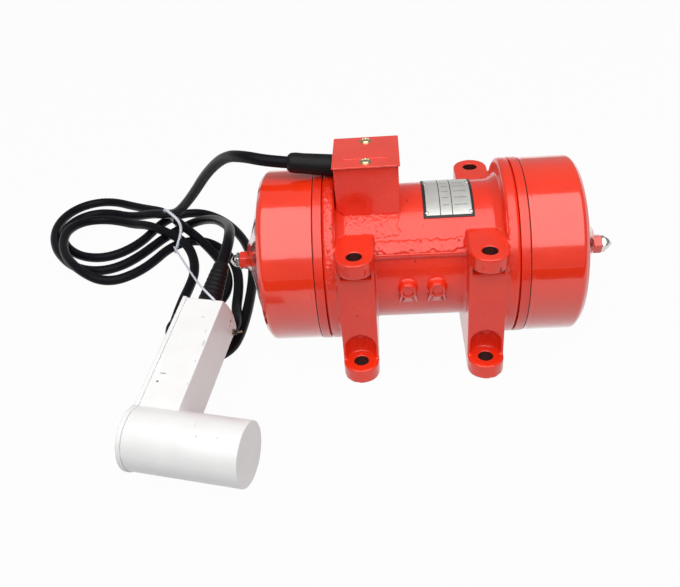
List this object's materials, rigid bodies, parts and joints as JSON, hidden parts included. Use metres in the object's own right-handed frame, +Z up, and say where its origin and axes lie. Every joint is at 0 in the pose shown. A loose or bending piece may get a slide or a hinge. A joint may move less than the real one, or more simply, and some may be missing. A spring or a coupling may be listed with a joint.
{
  "type": "vibration motor",
  "caption": "Attached vibration motor, orange-red cast frame on four feet with ears, two drum weight covers, terminal box, rubber cord hank and a switched capacitor case",
  "frame": {"origin": "centre of the four-hole foot bolt pattern, on the plane the feet stand on", "axes": "+X along the shaft, +Z up, +Y away from the two set-screw bosses"},
  "size_m": [0.8473, 0.69, 0.2487],
  "materials": {
    "frame_paint": "glossy orange-red enamel over rough cast iron",
    "cover_paint": "glossy orange-red enamel over pressed sheet",
    "core_iron": "dark grey, bare or laminated",
    "copper_wire": "varnished copper winding",
    "bright_steel": "ground steel",
    "cage_aluminium": "die cast, matt",
    "brass_parts": "plain brass",
    "chrome_parts": "bright plated",
    "zinc_screws": "zinc plated",
    "black_rubber": "matt black rubber",
    "cord_rubber": "smooth black rubber with soft highlights",
    "black_plastic": "moulded black",
    "white_plastic": "white plastic-coated wire",
    "case_plastic": "slightly glossy off-white moulding",
    "plate_metal": "bare blank aluminium plate with a black border"
  },
  "bodies": {
    "motor": {"stator_frame": "frame_paint", "end_shield_left": "frame_paint", "end_shield_right": "frame_paint", "stator_core": "core_iron", "stator_windings": "copper_wire", "bearing_outer_left": "bright_steel", "bearing_outer_right": "bright_steel", "shaft_seal_left": "black_rubber", "shaft_seal_right": "black_rubber", "cover_left": "cover_paint", "cover_right": "cover_paint", "cover_gasket_left": "black_rubber", "cover_gasket_right": "black_rubber", "cover_screws_left": "zinc_screws", "cover_screws_right": "zinc_screws", "shield_bolts_left": "zinc_screws", "shield_bolts_right": "zinc_screws", "cover_studs": "zinc_screws", "cover_stud_nuts": "cover_paint", "cover_cap_nuts": "chrome_parts", "terminal_box": "cover_paint", "terminal_lid": "cover_paint", "terminal_lid_screws": "zinc_screws", "terminal_lid_gasket": "black_rubber", "terminal_block": "black_plastic", "terminal_studs": "brass_parts", "nameplate": "plate_metal", "nameplate_rivets": "plate_metal", "stator_set_screws": "zinc_screws", "motor_cord_sleeve": "black_rubber", "cord_lead": "cord_rubber", "cord_hank": "cord_rubber", "cord_tail": "cord_rubber", "cord_tie": "white_plastic", "case_cord_sleeve": "black_rubber", "case_shell": "case_plastic", "case_cover": "case_plastic", "case_cover_screws": "zinc_screws", "capacitor": "case_plastic", "toggle_body": "black_plastic", "toggle_nut": "chrome_parts"},
    "rotor": {"shaft": "bright_steel", "rotor_core": "core_iron", "rotor_cage_rings": "cage_aluminium", "bearing_inner_left": "bright_steel", "bearing_inner_right": "bright_steel", "fixed_weight_left": "core_iron", "fixed_weight_right": "core_iron", "weight_keys": "bright_steel", "shaft_end_nuts": "zinc_screws", "shaft_end_washers": "zinc_screws"},
    "ball_set_left": {"bearing_cage_left": "brass_parts", "bearing_balls_left": "chrome_parts"},
    "ball_set_right": {"bearing_cage_right": "brass_parts", "bearing_balls_right": "chrome_parts"},
    "swing_weight_left": {"adjustable_weight_left": "core_iron", "weight_clamp_bolt_left": "zinc_screws"},
    "swing_weight_right": {"adjustable_weight_right": "core_iron", "weight_clamp_bolt_right": "zinc_screws"},
    "toggle": {"toggle_lever": "chrome_parts"}
  },
  "joints": [
    {"name": "shaft_spin", "type": "hinge", "parent": "motor", "child": "rotor", "pos_m": [0, 0, 0.11], "axis": [1, 0, 0], "continuous": true},
    {"name": "ball_set_spin_left", "type": "hinge", "parent": "motor", "child": "ball_set_left", "pos_m": [-0.1095, 0, 0.11], "axis": [1, 0, 0], "continuous": true},
    {"name": "ball_set_spin_right", "type": "hinge", "parent": "motor", "child": "ball_set_right", "pos_m": [0.1095, 0, 0.11], "axis": [1, 0, 0], "continuous": true},
    {"name": "weight_setting_left", "type": "hinge", "parent": "rotor", "child": "swing_weight_left", "pos_m": [-0.1565, 0, 0.11], "axis": [1, 0, 0], "range_deg": [0, 180]},
    {"name": "weight_setting_right", "type": "hinge", "parent": "rotor", "child": "swing_weight_right", "pos_m": [0.1565, 0, 0.11], "axis": [1, 0, 0], "range_deg": [0, 180]},
    {"name": "toggle_throw", "type": "hinge", "parent": "motor", "child": "toggle", "pos_m": [-0.22848, -0.08542, 0.05426], "axis": [0.215, 0.9389, 0.2689], "range_deg": [0, 40]}
  ],
  "couplings": [
    {"joint": "ball_set_spin_left", "follows": "shaft_spin", "ratio": 0.38},
    {"joint": "ball_set_spin_right", "follows": "shaft_spin", "ratio": 0.38}
  ]
}
